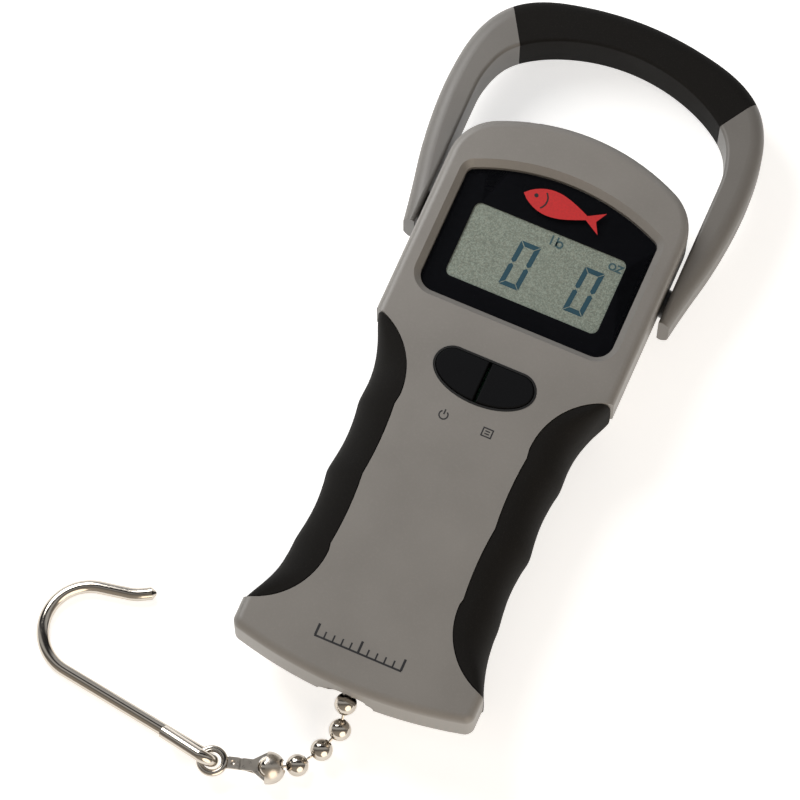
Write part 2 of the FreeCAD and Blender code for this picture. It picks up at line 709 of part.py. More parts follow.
def cell_bolt():
    shank = rod(2.4, V(0, BRACKET_Y[1], PARTING_Z), V(0, CELL_BLOCK_Y[1] - 7, PARTING_Z))
    head = rod(4.0, V(0, BRACKET_Y[1], PARTING_Z), V(0, BRACKET_Y[1] + 3.4, PARTING_Z))
    socket = rod(1.9, V(0, BRACKET_Y[1] + 1.4, PARTING_Z), V(0, BRACKET_Y[1] + 5, PARTING_Z))
    return shank.fuse(head).cut(socket)


def chain_anchor():
    """Screwed into the load cell, with a pocket that holds the chain's first bead."""
    shank = rod(2.4, V(0, CELL_BLOCK_Y[0] + 7, PARTING_Z), V(0, -59.0, PARTING_Z))
    barrel = rod(4.6, V(0, CELL_BLOCK_Y[0] - 0.1, PARTING_Z), V(0, -71.5, PARTING_Z))
    nose = rod(3.8, V(0, -71.0, PARTING_Z), V(0, -77.0, PARTING_Z))
    pocket = Part.makeSphere(BEAD_R + 0.25, CHAIN_START)
    entry = rod(BEAD_R + 0.25, CHAIN_START, CHAIN_START + V(0, 0, 8))
    throat = rod(1.6, CHAIN_START, CHAIN_START - V(0, 8, 0))
    return shank.fuse([barrel, nose]).cut([pocket, entry, throat])


# ---- leads ------------------------------------------------------------------------------
def lead(points, radius, bend):
    """A thin lead along straight runs joined by tangent arcs."""
    edges = []
    start = points[0]
    for before, corner, after in zip(points, points[1:], points[2:]):
        inward = (before - corner).normalize()
        outward = (after - corner).normalize()
        half = inward.getAngle(outward) / 2
        reach = bend / math.tan(half)
        middle_way = (inward + outward).normalize()
        centre_distance = bend / math.sin(half)
        enter = corner + inward * reach
        leave = corner + outward * reach
        middle = corner + middle_way * (centre_distance - bend)
        edges.append(line(start, enter))
        edges.append(Part.Arc(enter, middle, leave).toShape())
        start = leave
    edges.append(line(start, points[-1]))
    path = Part.Wire(edges)
    section = Part.Wire(Part.makeCircle(radius, points[0], points[1] - points[0]))
    return path.makePipeShell([section], True, True)


def sensor_lead():
    points = [V(9.5, -28.0, 19.8), V(9.5, -20.0, 19.8), V(9.5, -15.5, 24.1), V(9.5, 5.0, 24.1),
              V(9.5, 5.0, 21.1)]
    return lead(points, 0.6, 1.0)


def battery_leads():
    made = []
    for side in (-1, 1):
        points = [V(side * 11.5, 24.5, 16.0), V(side * 11.5, 20.0, 16.0), V(side * 11.5, 20.0, 19.3)]
        made.append(lead(points, 0.6, 1.2))
    return Part.makeCompound(made)


# ---- keys -------------------------------------------------------------------------------
def key_surround():
    ring = prism(keypad_outline(-0.03), CASE_DEPTH - WALL + 0.05, CASE_DEPTH + 0.1)
    return ring.cut(prism(keypad_outline(-0.65), 20, 30))


def left_key():
    half = box((-40, -KEY_GAP), (0, 40), (0, 40))
    cap = prism(keypad_outline(-0.9), 25.0, CASE_DEPTH + KEY_PROUD)
    cap = cap.common(half)
    cap = cap.makeFillet(0.4, loop_at(cap, CASE_DEPTH + KEY_PROUD))
    flange = prism(keypad_outline(0.8), 24.8, CASE_DEPTH - WALL - 0.1).common(half)
    stem_low = SWITCH_BUTTON_Z + 0.05 + KEY_TRAVEL
    stem = rod(1.6, V(KEY_SITES[0], KEY_STEM_Y, stem_low), V(KEY_SITES[0], KEY_STEM_Y, 25.2))
    return cap.fuse([flange, stem])


# ---- bail -------------------------------------------------------------------------------
def bail_side(points_outer, points_inner):
    """Right half of the bail's plan, as splines through the given heights."""
    outer = Part.BSplineCurve()
    outer.interpolate([V(x, y, 0) for x, y in points_outer], InitialTangent=V(1, 0, 0),
                      FinalTangent=V(-0.16, -1, 0))
    inner = Part.BSplineCurve()
    inner.interpolate([V(x, y, 0) for x, y in points_inner], InitialTangent=V(1, 0, 0),
                      FinalTangent=V(0, -1, 0))
    return outer.toShape(), inner.toShape()


BAIL_TIP_Y = 52.0
BAIL_OUTER = ((0, 133.9), (20, 131.7), (31, 128.3), (38.6, 123.1), (44.0, 114.0), (46.2, 102.0),
              (46.3, 88.0), (44.6, 73.0), (40.7, BAIL_TIP_Y))
BAIL_INNER = ((0, 122.6), (15, 120.5), (28, 114.7), (34.3, 108.5), (37.0, 100.5), (BAIL_INNER_X, 90.0))


def bail_ring(shrink, half_depth):
    """The whole bail as a bar of its plan, thinned all round by shrink."""
    outer, inner = bail_side(
        [(x - shrink * (0.0 if x == 0 else 1.0), y - shrink * (1.0 if x < 40 else 0.0))
         for x, y in BAIL_OUTER],
        [(x + shrink * (0.0 if x == 0 else 1.0), y + shrink * (1.0 if x < 36 else 0.0))
         for x, y in BAIL_INNER])
    outer_end = outer.Vertexes[-1].Point
    inner_end = inner.Vertexes[-1].Point
    tip_inner = V(inner_end.x, BAIL_TIP_Y, 0)
    apex = line(inner.Vertexes[0].Point, outer.Vertexes[0].Point)
    edges = [outer, line(outer_end, tip_inner), line(tip_inner, inner_end), inner, apex]
    half = prism(edges, PIVOT_Z - half_depth, PIVOT_Z + half_depth)
    return both_sides(half).removeSplitter()


def bail_bar():
    """The bail's full bar, with its long edges rounded into a D section."""
    bar = bail_ring(0, BAIL_HALF_DEPTH)
    rims = loop_at(bar, PIVOT_Z + BAIL_HALF_DEPTH) + loop_at(bar, PIVOT_Z - BAIL_HALF_DEPTH)
    bar = bar.makeFillet(BAIL_OUTER_EDGE_R, [edge for edge in rims if edge.Length > 100])
    rims = loop_at(bar, PIVOT_Z + BAIL_HALF_DEPTH) + loop_at(bar, PIVOT_Z - BAIL_HALF_DEPTH)
    inner = [edge for edge in rims if edge.CenterOfMass.y > 60 and abs(edge.CenterOfMass.x) < 40
             and 30 < edge.Length < 100]
    return bar.makeFillet(BAIL_INNER_EDGE_R, inner)


def sleeve_zone(margin):
    """The stretch of bar that the rubber sleeve covers, cut off square to the bar."""
    corners = [V(29.0 - margin, 109.6, 0), V(39.9 - margin, 127.2, 0), V(39.9 - margin, 140, 0),
               V(-39.9 + margin, 140, 0), V(-39.9 + margin, 127.2, 0), V(-29.0 + margin, 109.6, 0)]
    edges = [line(p, q) for p, q in zip(corners, corners[1:] + corners[:1])]
    return prism(edges, -5, 35)


def bail_frame():
    legs = bail_bar().cut(sleeve_zone(0))
    bar = bail_ring(2.2, BAIL_HALF_DEPTH - 2.2).common(sleeve_zone(-2.0))
    frame = legs.fuse(bar)
    bores = both_sides(rod(PIVOT_R + PIVOT_PLAY, V(37, PIVOT_Y, PIVOT_Z), V(40.6, PIVOT_Y, PIVOT_Z)))
    return frame.cut(bores).removeSplitter()


def bail_grip():
    sleeve = bail_bar().common(sleeve_zone(0.15))
    return sleeve.cut(bail_ring(2.2, BAIL_HALF_DEPTH - 2.2))


def pivot_pin():
    pin = rod(PIVOT_R, V(31.4, PIVOT_Y, PIVOT_Z), V(40.3, PIVOT_Y, PIVOT_Z))
    return pin.makeChamfer(0.4, [edge for edge in pin.Edges if edge.CenterOfMass.x > 40])


def pivot_washer():
    ring = rod(4.2, V(CASE_HALF_WIDTH + 0.05, PIVOT_Y, PIVOT_Z), V(BAIL_INNER_X - 0.1, PIVOT_Y, PIVOT_Z))
    return ring.cut(rod(PIVOT_R + 0.02, V(35, PIVOT_Y, PIVOT_Z), V(39, PIVOT_Y, PIVOT_Z)))


# ---- ball chain -------------------------------------------------------------------------
def chain_direction(index):
    heading, fall = (math.radians(value) for value in CHAIN_TURNS[index])
    level = math.cos(fall)
    return V(-math.sin(heading) * level, -math.cos(heading) * level, -math.sin(fall))


def bead_centres():
    centres = [CHAIN_START]
    for index in range(len(CHAIN_TURNS)):
        centres.append(centres[-1] + chain_direction(index) * CHAIN_PITCH)
    return centres


def bead(centre, directions):
    """A hollow bead with a hole towards each link."""
    shell = Part.makeSphere(BEAD_R, centre)
    cuts = [Part.makeSphere(BEAD_R - BEAD_WALL, centre)]
    for direction in directions:
        cuts.append(rod(BEAD_HOLE_R, centre, centre + direction * (BEAD_R + 1)))
    return shell.cut(cuts)


def link(start_bead, end_bead):
    """A dumbbell whose two heads are trapped inside neighbouring beads."""
    direction = (end_bead - start_bead).normalize()
    start = start_bead + direction * LINK_HEAD_OFFSET
    end = end_bead - direction * LINK_HEAD_OFFSET
    heads = [Part.makeSphere(LINK_HEAD_R, start), Part.makeSphere(LINK_HEAD_R, end)]
    return rod(LINK_ROD_R, start, end).fuse(heads)


# ---- clasp ------------------------------------------------------------------------------
def clasp_frame():
    """Cup centre, level direction from cup to eyelet, and the level direction across it."""
    cup = bead_centres()[-1]
    along = V(EYELET_CENTRE.x - cup.x, EYELET_CENTRE.y - cup.y, 0)
    span = along.Length
    along.normalize()
    return cup, along, Z_AXIS.cross(along), span


def strap(start, end, low, high):
    """A flat length of strap between two distances from the cup centre, towards the eyelet."""
    cup, along, across, _ = clasp_frame()
    base = V(cup.x, cup.y, low) + along * start - across * STRAP_HALF_WIDTH
    corners = [base, base + along * (end - start)]
    corners += [corners[1] + across * 2 * STRAP_HALF_WIDTH, base + across * 2 * STRAP_HALF_WIDTH]
    edges = [line(p, q) for p, q in zip(corners, corners[1:] + corners[:1])]
    return Part.Face(Part.Wire(edges)).extrude(V(0, 0, high - low))


def clasp_tongue(cup, along, across, level):
    """Slopes up from the bottom of the cup's rim to the strap's lower layer."""
    def at(run, height):
        return V(cup.x, cup.y, height) + along * run - across * STRAP_HALF_WIDTH

    rim_low = cup.z - math.sqrt(CUP_R ** 2 - CUP_RIM ** 2) + CUP_WALL / 2
    corners = [at(0.2, rim_low), at(CUP_RIM + 0.4, rim_low), at(TONGUE_END, level),
               at(TONGUE_END, level + STRAP_THICKNESS), at(0.2, rim_low + STRAP_THICKNESS)]
    edges = [line(p, q) for p, q in zip(corners, corners[1:] + corners[:1])]
    return Part.Face(Part.Wire(edges)).extrude(across * 2 * STRAP_HALF_WIDTH)


def clasp_fork(cup, along, across, low, high):
    """Flat web that joins the strap's upper layer to both sides of the cup's rim."""
    wide = CUP_R - CUP_WALL / 2 - 0.2
    plan = [(0.1, wide), (CUP_RIM - 0.1, wide), (CUP_R, STRAP_HALF_WIDTH),
            (STRAP_GAP[0], STRAP_HALF_WIDTH)]
    plan += [(run, -side) for run, side in reversed(plan)]
    corners = [V(cup.x, cup.y, low) + along * run + across * side for run, side in plan]
    edges = [line(p, q) for p, q in zip(corners, corners[1:] + corners[:1])]
    return Part.Face(Part.Wire(edges)).extrude(V(0, 0, high - low))


def chain_clasp():
    """Stamped bell over the last bead, drawn out into a folded strap that ends round the eyelet."""
    cup, along, across, span = clasp_frame()
    toward_chain = chain_direction(4) * -1
    low = EYELET_CENTRE.z - STRAP_THICKNESS / 2
    middle = low + STRAP_THICKNESS
    high = middle + STRAP_THICKNESS
    end = span - EYELET_R
    shell = Part.makeSphere(CUP_R, cup)
    open_side = rod(2 * CUP_R, cup + along * CUP_RIM, cup + along * 3 * CUP_R)
    shell = shell.cut(open_side)
    tail = rod(EYELET_R + 0.6, V(EYELET_CENTRE.x, EYELET_CENTRE.y, low),
               V(EYELET_CENTRE.x, EYELET_CENTRE.y, middle))
    hollow = Part.makeSphere(CUP_R - CUP_WALL, cup)
    shell = shell.cut(hollow)
    body = shell.fuse([
        clasp_fork(cup, along, across, middle - 0.05, high),
        clasp_tongue(cup, along, across, low),
        strap(TONGUE_END - 0.3, end, low, middle),
        strap(STRAP_GAP[1], end - EYELET_WIRE_R, middle - 0.05, high),
        strap(STRAP_GAP[0] - 0.4, STRAP_GAP[1] + 0.2, low, middle),
        strap(TONGUE_END - 0.3, STRAP_GAP[0], low, high),
        tail,
    ])
    mouth = []
    for rise in (0, 0.35, 0.7):
        mouth.append(rod(BEAD_HOLE_R + 0.5, cup, cup + (toward_chain + Z_AXIS * rise) * 8))
    room = Part.makeSphere(BEAD_R + 0.2, cup)
    dimple = Part.makeSphere(1.0, EYELET_CENTRE - along * (EYELET_R + 2.4) + Z_AXIS * 1.6)
    hole = rod(EYELET_R - 0.3, EYELET_CENTRE - Z_AXIS * 5, EYELET_CENTRE + Z_AXIS * 5)
    for tool in [room, dimple, hole, clasp_eyelet()] + mouth:
        body = body.cut(tool)
    return body


def ring_face(half_width, half_height, radius, rise):
    section = Part.Ellipse(V(0, 0, 0), max(half_width, half_height), min(half_width, half_height))
    edge = section.toShape()
    if half_height > half_width:
        edge.rotate(V(0, 0, 0), Z_AXIS, 90)
    edge.rotate(V(0, 0, 0), X_AXIS, 90)
    edge.translate(EYELET_CENTRE + X_AXIS * radius + Z_AXIS * rise)
    return Part.Face(Part.Wire(edge))


def clasp_eyelet():
    """Rolled rim riveted through the end of the strap, with a thin lip round its hole."""
    roll = ring_face(EYELET_WIRE_R, EYELET_HALF_HEIGHT, EYELET_R, 0).revolve(EYELET_CENTRE, Z_AXIS, 360)
    lip = Part.makeTorus(EYELET_LIP_R, EYELET_LIP_WIRE_R, EYELET_CENTRE + Z_AXIS * EYELET_LIP_RISE)
    return roll.fuse(lip)


# ---- hook -------------------------------------------------------------------------------
def hook():
    """One wire: a tail folded back over the shank, the eye, the shank, the bow and the point."""
    along = V(-math.cos(HOOK_HEADING), math.sin(HOOK_HEADING), 0)
    across = V(math.sin(HOOK_HEADING), math.cos(HOOK_HEADING), 0)

    def at(s, t, up=-EYE_R):
        return EYELET_CENTRE + along * s + across * (t - EYE_LEAN * up) + Z_AXIS * up

    def bow(angle):
        return at(BOW_CENTRE + BOW_R * math.cos(angle), BOW_R + BOW_R * math.sin(angle))

    lean = math.pi / 2 - BOW_END_ANGLE
    bow_end = bow(BOW_END_ANGLE)
    run_end = bow_end + (across * math.sin(lean) - along * math.cos(lean)) * POINT_RUN
    turn_centre = run_end + (across * math.cos(lean) + along * math.sin(lean)) * POINT_ARC_R

    def point_arc(turn):
        angle = lean + turn
        return turn_centre - (across * math.cos(angle) + along * math.sin(angle)) * POINT_ARC_R

    final = lean + POINT_TURN
    heading = across * math.sin(final) - along * math.cos(final)
    tip = point_arc(POINT_TURN) + heading * POINT_END
    tail_end = at(TAIL_END, 0, 2 * WIRE_R - EYE_R)
    path = Part.Wire([
        line(tail_end, at(EYE_R, 0, EYE_R)),
        Part.Arc(at(EYE_R, 0, EYE_R), at(0, 0, 0), at(EYE_R, 0)).toShape(),
        line(at(EYE_R, 0), bow(-math.pi / 2)),
        Part.Arc(bow(-math.pi / 2), bow(0), bow_end).toShape(),
        line(bow_end, run_end),
        Part.Arc(run_end, point_arc(POINT_TURN / 2), point_arc(POINT_TURN)).toShape(),
        line(point_arc(POINT_TURN), tip),
    ])
    section = Part.Wire(Part.makeCircle(WIRE_R, tail_end, at(EYE_R, 0, EYE_R) - tail_end))
    wire = path.makePipeShell([section], True, False, 2)
    cone = Part.makeCone(WIRE_R, POINT_TIP_R, POINT_CONE, tip, heading)
    return wire.fuse(cone)


# ---- write the nodes --------------------------------------------------------------------
def all_nodes():
    centres = bead_centres()
    directions = [chain_direction(index) for index in range(len(CHAIN_TURNS))]
    grip = right_grip()
    key = left_key()
    pin = pivot_pin()
    washer = pivot_washer()
    nodes = {
        "front_cover": front_cover(),
        "back_cover": back_cover(),
        "casing_seal": seal_ring(0.0).cut(pivot_holes()),
        "casing_screws": casing_screws(),
        "right_grip": grip,
        "left_grip": mirrored(grip),
        "display_lens": display_lens(),
        "lens_mask": lens_mask(),
        "lcd_panel": lcd_panel(),
        "lcd_frame": lcd_frame(),
        "backlight_panel": backlight_panel(),
        "zebra_strip": zebra_strip(),
        "main_board": main_board(),
        "board_screws": board_screws(),
        "board_chips": board_chips(),
        "key_switches": key_switches(),
        "piezo_buzzer": piezo_buzzer(),
        "battery_left": battery(-CELL_X),
        "battery_right": battery(CELL_X),
        "contact_springs": contact_springs(),
        "contact_plates": contact_plates(),
        "battery_door": battery_door(),
        "door_seal": door_seal(),
        "load_cell": load_cell(),
        "strain_gauges": strain_gauges(),
        "cell_bracket": cell_bracket(),
        "cell_bolt": cell_bolt(),
        "chain_anchor": chain_anchor(),
        "sensor_lead": sensor_lead(),
        "battery_leads": battery_leads(),
        "key_surround": key_surround(),
        "left_key": key,
        "right_key": mirrored(key),
        "bail_frame": bail_frame(),
        "bail_grip": bail_grip(),
        "pivot_pin_right": pin,
        "pivot_pin_left": mirrored(pin),
        "pivot_washer_right": washer,
        "pivot_washer_left": mirrored(washer),
        "anchor_bead": bead(centres[0], [directions[0]]),
        "clasp_bead": bead(centres[5], [directions[4] * -1]),
        "chain_clasp": chain_clasp(),
        "clasp_eyelet": clasp_eyelet(),
        "hook": hook(),
    }
    for index, direction in enumerate(directions):
        nodes["chain_link_%d" % (index + 1)] = link(centres[index], centres[index + 1])
    for index in range(1, len(directions)):
        holes = [directions[index - 1] * -1, directions[index]]
        nodes["chain_bead_%d" % index] = bead(centres[index], holes)
    return nodes


os.makedirs("parts", exist_ok=True)
for name, shape in all_nodes().items():
    shape.exportStep("parts/%s.step" % name)
    print("%-20s %9.2f mm3  solids %d  valid %s"
          % (name, shape.Volume, len(shape.Solids), shape.isValid()))
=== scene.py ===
import json
import math
import bpy
from mathutils import Matrix, Vector


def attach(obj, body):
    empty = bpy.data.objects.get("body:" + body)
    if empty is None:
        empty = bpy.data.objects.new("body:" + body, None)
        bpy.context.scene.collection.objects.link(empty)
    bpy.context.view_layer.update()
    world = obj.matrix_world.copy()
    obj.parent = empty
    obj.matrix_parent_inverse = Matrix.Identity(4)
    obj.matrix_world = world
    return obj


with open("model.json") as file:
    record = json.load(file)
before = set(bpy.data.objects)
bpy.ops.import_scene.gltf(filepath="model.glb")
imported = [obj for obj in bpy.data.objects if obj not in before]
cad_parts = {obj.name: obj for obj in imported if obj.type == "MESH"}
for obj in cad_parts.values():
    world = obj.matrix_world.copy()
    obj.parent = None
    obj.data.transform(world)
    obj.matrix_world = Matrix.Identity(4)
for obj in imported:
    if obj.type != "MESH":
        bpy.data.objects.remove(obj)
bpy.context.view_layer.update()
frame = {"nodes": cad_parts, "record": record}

MM = 0.001

# ---- heights and outlines shared with the solids, in millimetres ------------------------
FACE_Z = 28.0
LENS_TOP_Z = 26.0
LCD_TOP_Z = 24.1
INK = 0.04                      # thickness of a printed mark
JACKET_BAND_Y = 0.069           # where the cells' jackets change colour, in metres


# ---- node helpers -----------------------------------------------------------------------
class Material:
    """A small wrapper that makes node graphs short to write."""

    def __init__(self, name):
        self.material = bpy.data.materials.new(name)
        self.material.use_nodes = True
        self.tree = self.material.node_tree
        self.shader = self.tree.nodes["Principled BSDF"]
        self.place = self.tree.nodes.new("ShaderNodeTexCoord").outputs["Object"]

    def node(self, kind, inputs=None, **settings):
        made = self.tree.nodes.new(kind)
        for key, value in settings.items():
            setattr(made, key, value)
        for key, value in (inputs or {}).items():
            self.feed(made.inputs[key], value)
        return made

    def feed(self, socket, value):
        if isinstance(value, bpy.types.NodeSocket):
            self.tree.links.new(value, socket)
        else:
            socket.default_value = value

    def set(self, **values):
        for key, value in values.items():
            self.feed(self.shader.inputs[key.replace("_", " ")], value)

    def noise(self, scale, detail=4.0, roughness=0.55, vector=None):
        made = self.node("ShaderNodeTexNoise", {
            "Vector": vector or self.place, "Scale": scale,
            "Detail": detail, "Roughness": roughness})
        return made.outputs["Fac"]

    def ramp(self, factor, low, high, low_at=0.0, high_at=1.0):
        made = self.node("ShaderNodeMapRange", {
            "Value": factor, "From Min": low_at, "From Max": high_at,
            "To Min": low, "To Max": high})
        return made.outputs["Result"]

    def blend(self, factor, first, second):
        made = self.node("ShaderNodeMix", data_type="RGBA")
        self.feed(made.inputs[0], factor)
        self.feed(made.inputs[6], (*first, 1) if isinstance(first, tuple) else first)
        self.feed(made.inputs[7], (*second, 1) if isinstance(second, tuple) else second)
        return made.outputs[2]

    def maths(self, operation, first, second):
        made = self.node("ShaderNodeMath", operation=operation)
        self.feed(made.inputs[0], first)
        self.feed(made.inputs[1], second)
        return made.outputs[0]

    def bump(self, height, strength, distance):
        made = self.node("ShaderNodeBump", {
            "Height": height, "Strength": strength, "Distance": distance})
        self.feed(self.shader.inputs["Normal"], made.outputs["Normal"])


def tinted(color, amount):
    return tuple(max(0.0, channel * amount) for channel in color)


# ---- materials --------------------------------------------------------------------------
def moulded_plastic(name, color, rough=0.42, grain=2600.0, grain_depth=0.00002,
                    mottle=0.05, shine=0.5):
    """Satin moulded plastic: faint cloudy colour, fine spark-eroded grain, slightly uneven gloss."""
    m = Material(name)
    cloud = m.noise(38.0, 3.0)
    speck = m.noise(grain * 0.6, 2.0)
    clouding = m.ramp(cloud, 0.0, 1.0, 0.3, 0.7)
    broad = m.blend(clouding, tinted(color, 1 - mottle), tinted(color, 1 + mottle))
    fine = m.blend(m.ramp(speck, 0.0, 0.35, 0.5, 0.8), broad, tinted(color, 1.18))
    m.set(Base_Color=fine, Roughness=m.ramp(cloud, rough - 0.04, rough + 0.05, 0.3, 0.7),
          Specular_IOR_Level=shine)
    m.bump(m.noise(grain, 2.0), 0.35, grain_depth)
    return m.material


def rubber(name, color, rough=0.62, speck_gain=2.6, shine=0.3):
    """Soft-touch rubber: near black, with dust-like flecks and a pebbled skin."""
    m = Material(name)
    fleck = m.noise(2900.0, 2.0, 0.6)
    cloud = m.noise(45.0, 3.0)
    dusted = m.blend(m.ramp(fleck, 0.0, 0.8, 0.56, 0.78), color, tinted(color, speck_gain))
    m.set(Base_Color=m.blend(m.ramp(cloud, 0.0, 0.5, 0.35, 0.75), dusted, tinted(color, 1.5)),
          Roughness=m.ramp(cloud, rough - 0.06, rough + 0.05, 0.3, 0.7), Specular_IOR_Level=shine)
    m.bump(m.noise(2100.0, 3.0), 0.6, 0.00005)
    return m.material


def metal(name, color, rough, scratch=0.02, brushed=False, tarnish=0.08):
    """Bare or plated metal with hairline scratches and slight tarnish."""
    m = Material(name)
    m.set(Metallic=1.0)
    place = m.place
    if brushed:
        stretched = m.node("ShaderNodeMapping", {"Vector": m.place, "Scale": (1.0, 30.0, 30.0)})
        place = stretched.outputs["Vector"]
    cloud = m.noise(120.0, 4.0)
    lines = m.noise(1400.0, 5.0, 0.7, place)
    m.set(Base_Color=m.blend(m.ramp(cloud, 0.0, 1.0, 0.35, 0.7), tinted(color, 1 - tarnish), color),
          Roughness=m.ramp(lines, rough - scratch, rough + scratch * 2, 0.3, 0.75))
    m.bump(lines, 0.12 if brushed else 0.03, 0.00002)
    return m.material


def lens_material():
    """Clear, faintly smoked acrylic with a few dust specks."""
    m = Material("lens_acrylic")
    dust = m.noise(900.0, 2.0)
    m.set(Base_Color=(0.010, 0.011, 0.014, 1), IOR=1.49, Alpha=0.10, Specular_IOR_Level=0.2,
          Roughness=m.ramp(dust, 0.05, 0.12, 0.45, 0.8))
    return m.material


def display_material():
    """Grey-green liquid crystal panel with the grain of its rear polariser."""
    m = Material("lcd_polariser")
    base = (0.292, 0.342, 0.288)
    grain = m.noise(2300.0, 2.0, 0.7)
    tint = m.noise(1500.0, 1.0, 0.5)
    cloud = m.noise(30.0, 2.0)
    speckled = m.blend(m.ramp(grain, 0.0, 1.0, 0.40, 0.62), tinted(base, 0.60), tinted(base, 1.40))
    warmed = m.blend(m.ramp(tint, 0.0, 0.28, 0.45, 0.65), speckled, (0.37, 0.34, 0.26))
    m.set(Base_Color=m.blend(m.ramp(cloud, 0.0, 0.3, 0.35, 0.7), warmed, tinted(base, 1.12)),
          Roughness=m.ramp(grain, 0.45, 0.6))
    return m.material


def ink(name, color, rough=0.5):
    """Pad-printed ink with thin spots."""
    m = Material(name)
    thin = m.noise(1700.0, 3.0)
    m.set(Base_Color=m.blend(m.ramp(thin, 0.0, 1.0, 0.35, 0.75), color, tinted(color, 1.25)),
          Roughness=m.ramp(thin, rough - 0.05, rough + 0.1))
    return m.material


def board_material():
    """Solder mask over faint copper runs."""
    m = Material("board_mask")
    weave = m.node("ShaderNodeTexBrick", {
        "Vector": m.place, "Scale": 260.0, "Mortar Size": 0.06,
        "Color1": (0.012, 0.12, 0.045, 1), "Color2": (0.016, 0.15, 0.055, 1),
        "Mortar": (0.03, 0.24, 0.09, 1)})
    m.set(Base_Color=weave.outputs["Color"], Roughness=m.ramp(m.noise(300.0), 0.3, 0.45))
    m.bump(weave.outputs["Fac"], 0.2, 0.00003)
    return m.material


def cell_material():
    """Plain printed battery jacket with a copper-coloured band at the head end."""
    m = Material("cell_jacket")
    height = m.node("ShaderNodeSeparateXYZ", {"Vector": m.place}).outputs["Y"]
    band = m.maths("GREATER_THAN", height, JACKET_BAND_Y)
    m.set(Base_Color=m.blend(band, (0.02, 0.02, 0.022), (0.62, 0.30, 0.13)),
          Metallic=m.ramp(band, 0.2, 0.9), Roughness=m.ramp(m.noise(400.0), 0.28, 0.4))
    return m.material


GREY = (0.210, 0.199, 0.185)
NICKEL = (0.60, 0.55, 0.485)
materials = {
    "casing": moulded_plastic("casing_plastic", GREY),
    "soft_grip": rubber("grip_rubber", (0.0074, 0.0068, 0.0062), 0.82, shine=0.12),
    "lens": lens_material(),
    "mask_black": moulded_plastic("mask_ink", (0.0034, 0.0037, 0.0050), 0.5, 900.0, 0.000005,
                                  shine=0.03),
    "lcd": display_material(),
    "white_plastic": moulded_plastic("white_plastic", (0.72, 0.72, 0.70), 0.35),
    "board_green": board_material(),
    "chip_black": moulded_plastic("chip_epoxy", (0.012, 0.012, 0.013), 0.5),
    "switch_metal": metal("switch_metal", (0.62, 0.61, 0.58), 0.3, brushed=True),
    "cell_jacket": cell_material(),
    "contact_metal": metal("contact_plating", (0.75, 0.73, 0.69), 0.2),
    "sensor_aluminium": metal("sensor_aluminium", (0.80, 0.80, 0.81), 0.34, 0.05, True),
    "steel": metal("zinc_steel", (0.56, 0.56, 0.57), 0.28, 0.04),
    "nickel": metal("polished_nickel", NICKEL, 0.13, 0.02),
    "wire_jacket": moulded_plastic("lead_jacket", (0.42, 0.02, 0.02), 0.4),
    "key_rubber": rubber("key_rubber", (0.0052, 0.0055, 0.0064), 0.7, 1.6, 0.06),
    "washer_black": moulded_plastic("washer_acetal", (0.006, 0.006, 0.006), 0.35),
}
own_finish = {
    # the bail is the casing plastic with its grey darkened to 0.74: painted shade standing in for the
    # shade that falls on its legs
    "bail_frame": moulded_plastic("bail_plastic_painted_shade", tinted(GREY, 0.74), 0.46),
    "chain_clasp": metal("pressed_nickel", NICKEL, 0.30, 0.05),
}
slot_of = {part["node"]: part["material_slot"] for part in frame["record"]["subparts"]}
for node, obj in frame["nodes"].items():
    finish = own_finish.get(node) or materials[slot_of[node]]
    for index in range(len(obj.data.materials)):
        obj.data.materials[index] = finish
    if not obj.data.materials:
        obj.data.materials.append(finish)


# ---- mesh helpers -----------------------------------------------------------------------
def piece(name, points, faces, body, material, smooth=35):
    """A mesh piece from millimetre points, riding on a body."""
    mesh = bpy.data.meshes.new(name)
    mesh.from_pydata([Vector(point) * MM for point in points], [], faces)
    mesh.validate()
    mesh.materials.append(material)
    for polygon in mesh.polygons:
        polygon.use_smooth = True
    mesh.set_sharp_from_angle(angle=math.radians(smooth))
    obj = bpy.data.objects.new(name, mesh)
    bpy.context.collection.objects.link(obj)
    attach(obj, body)
    return obj


def prints(name, outlines, z, body, material):
    """Thin printed marks: each closed outline becomes a low plate standing on height z."""
    points = []
    faces = []
    for outline in outlines:
        start = len(points)
        count = len(outline)
        points += [(x, y, z) for x, y in outline] + [(x, y, z + INK) for x, y in outline]
        faces.append(list(range(start + count, start + 2 * count)))
        faces.append(list(range(start + count - 1, start - 1, -1)))
        for index in range(count):
            after = (index + 1) % count
            faces.append((start + index, start + after, start + count + after, start + count + index))
    return piece(name, points, faces, body, material, 20)


def stroke(points, width, closed=False):
    """The outlines of a pen line with mitred joints, one quadrilateral for each run."""
    ring = [Vector(point) for point in points]
    count = len(ring)
    edges = []
    for index, point in enumerate(ring):
        before = ring[index - 1] if index or closed else point * 2 - ring[1]
        after = ring[(index + 1) % count] if index < count - 1 or closed else point * 2 - ring[index - 1]
        incoming = (point - before).normalized()
        outgoing = (after - point).normalized()
        normal = Vector((-incoming.y - outgoing.y, incoming.x + outgoing.x)).normalized()
        reach = width / 2 / max(0.4, normal.dot(Vector((-incoming.y, incoming.x))))
        edges.append((point + normal * reach, point - normal * reach))
    quads = []
    for index in range(count if closed else count - 1):
        (left, right), (far_left, far_right) = edges[index], edges[(index + 1) % count]
        quads.append([tuple(right), tuple(far_right), tuple(far_left), tuple(left)])
    return quads


def arc_points(centre, radius, start, end, count):
    """Points along an arc, with its two angles in degrees."""
    points = []
    for index in range(count + 1):
        angle = math.radians(start + (end - start) * index / count)
        points.append((centre[0] + radius * math.cos(angle), centre[1] + radius * math.sin(angle)))
    return points


